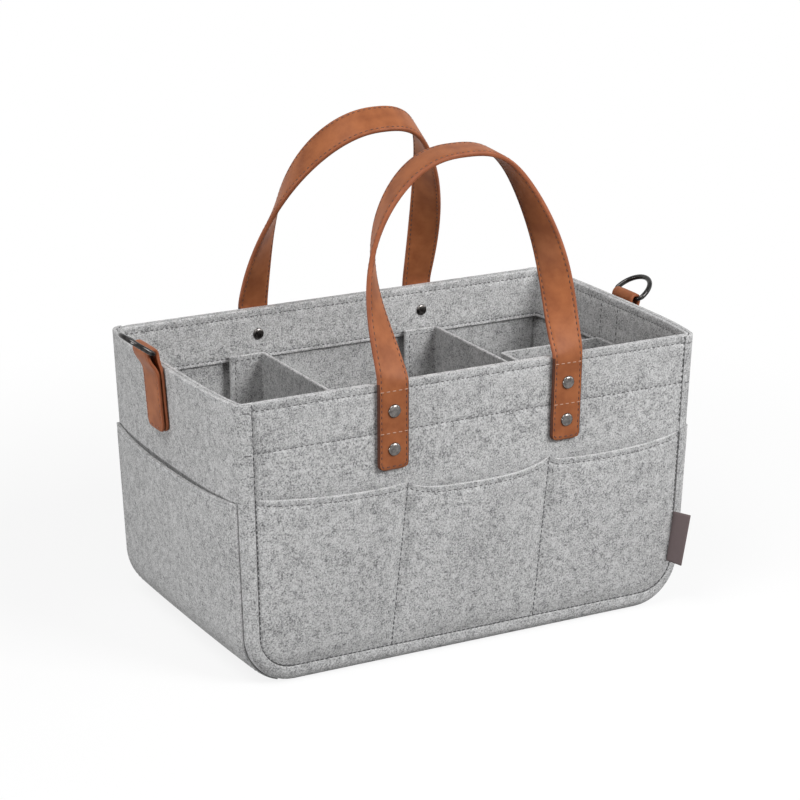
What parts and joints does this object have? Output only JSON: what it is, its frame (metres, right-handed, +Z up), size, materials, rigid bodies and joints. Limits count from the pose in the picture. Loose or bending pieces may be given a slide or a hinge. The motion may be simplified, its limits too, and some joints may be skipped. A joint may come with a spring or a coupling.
{
  "type": "diaper caddy",
  "caption": "Open felt caddy with outside pockets, lift-out dividers held by hook-and-loop tape, riveted leather carrying handles and a D-ring on a leather tab at each end.",
  "frame": {"origin": "on the floor, under the middle of the base", "axes": "+Z up, +X along the length toward the right end, +Y from the front to the back"},
  "size_m": [0.4519, 0.2506, 0.3798],
  "materials": {
    "felt": "grey melange wool felt",
    "divider_felt": "grey melange wool felt",
    "tape": "woven hook-and-loop tape",
    "leather": "smooth tan leather with sewn edges",
    "gunmetal": "gunmetal plating",
    "label": "woven tape"
  },
  "bodies": {
    "body": {"gusset_band": "felt", "front_seam_edge": "felt", "back_seam_edge": "felt", "front_panel": "felt", "back_panel": "felt", "facing": "felt", "front_pocket": "felt", "back_pocket": "felt", "left_pocket": "felt", "right_pocket": "felt", "left_divider_front_loop_tape": "tape", "left_divider_back_loop_tape": "tape", "right_divider_front_loop_tape": "tape", "right_divider_back_loop_tape": "tape", "right_end_loop_tape": "tape", "front_handle_left_end": "leather", "front_handle_right_end": "leather", "back_handle_left_end": "leather", "back_handle_right_end": "leather", "front_left_upper_rivet": "gunmetal", "front_left_lower_rivet": "gunmetal", "front_right_upper_rivet": "gunmetal", "front_right_lower_rivet": "gunmetal", "back_left_upper_rivet": "gunmetal", "back_left_lower_rivet": "gunmetal", "back_right_upper_rivet": "gunmetal", "back_right_lower_rivet": "gunmetal", "front_left_upper_rivet_inner_cap": "gunmetal", "front_left_lower_rivet_inner_cap": "gunmetal", "front_right_upper_rivet_inner_cap": "gunmetal", "front_right_lower_rivet_inner_cap": "gunmetal", "back_left_upper_rivet_inner_cap": "gunmetal", "back_left_lower_rivet_inner_cap": "gunmetal", "back_right_upper_rivet_inner_cap": "gunmetal", "back_right_lower_rivet_inner_cap": "gunmetal", "left_ring_tab": "leather", "right_ring_tab": "leather", "side_label": "label"},
    "front_handle": {"front_handle": "leather"},
    "back_handle": {"back_handle": "leather"},
    "left_ring": {"left_d_ring": "gunmetal"},
    "right_ring": {"right_d_ring": "gunmetal"},
    "left_divider": {"left_divider": "divider_felt", "left_divider_front_hook_tape": "tape", "left_divider_back_hook_tape": "tape"},
    "right_divider": {"right_divider": "divider_felt", "right_divider_front_hook_tape": "tape", "right_divider_back_hook_tape": "tape", "right_divider_side_loop_tape": "tape"},
    "cross_divider": {"cross_divider": "divider_felt", "cross_divider_left_hook_tape": "tape", "cross_divider_right_hook_tape": "tape"}
  },
  "joints": [
    {"name": "front_handle_fold", "type": "hinge", "parent": "body", "child": "front_handle", "pos_m": [0, -0.1183, 0.219], "axis": [1, 0, 0], "range_deg": [-22, 150]},
    {"name": "back_handle_fold", "type": "hinge", "parent": "body", "child": "back_handle", "pos_m": [0, 0.1183, 0.219], "axis": [-1, 0, 0], "range_deg": [-14, 150]},
    {"name": "left_ring_swing", "type": "hinge", "parent": "body", "child": "left_ring", "pos_m": [-0.20676, 0.00902, 0.228], "axis": [0, 1, 0], "range_deg": [-105, 85]},
    {"name": "right_ring_swing", "type": "hinge", "parent": "body", "child": "right_ring", "pos_m": [0.20592, 0.005, 0.216], "axis": [0, -1, 0], "range_deg": [-104, 86]},
    {"name": "left_divider_lift", "type": "slide", "parent": "body", "child": "left_divider", "axis": [0, 0, 1], "range_m": [0, 0.045]},
    {"name": "right_divider_lift", "type": "slide", "parent": "body", "child": "right_divider", "axis": [0, 0, 1], "range_m": [0, 0.045]},
    {"name": "cross_divider_lift", "type": "slide", "parent": "body", "child": "cross_divider", "axis": [0, 0, 1], "range_m": [0, 0.19]}
  ]
}
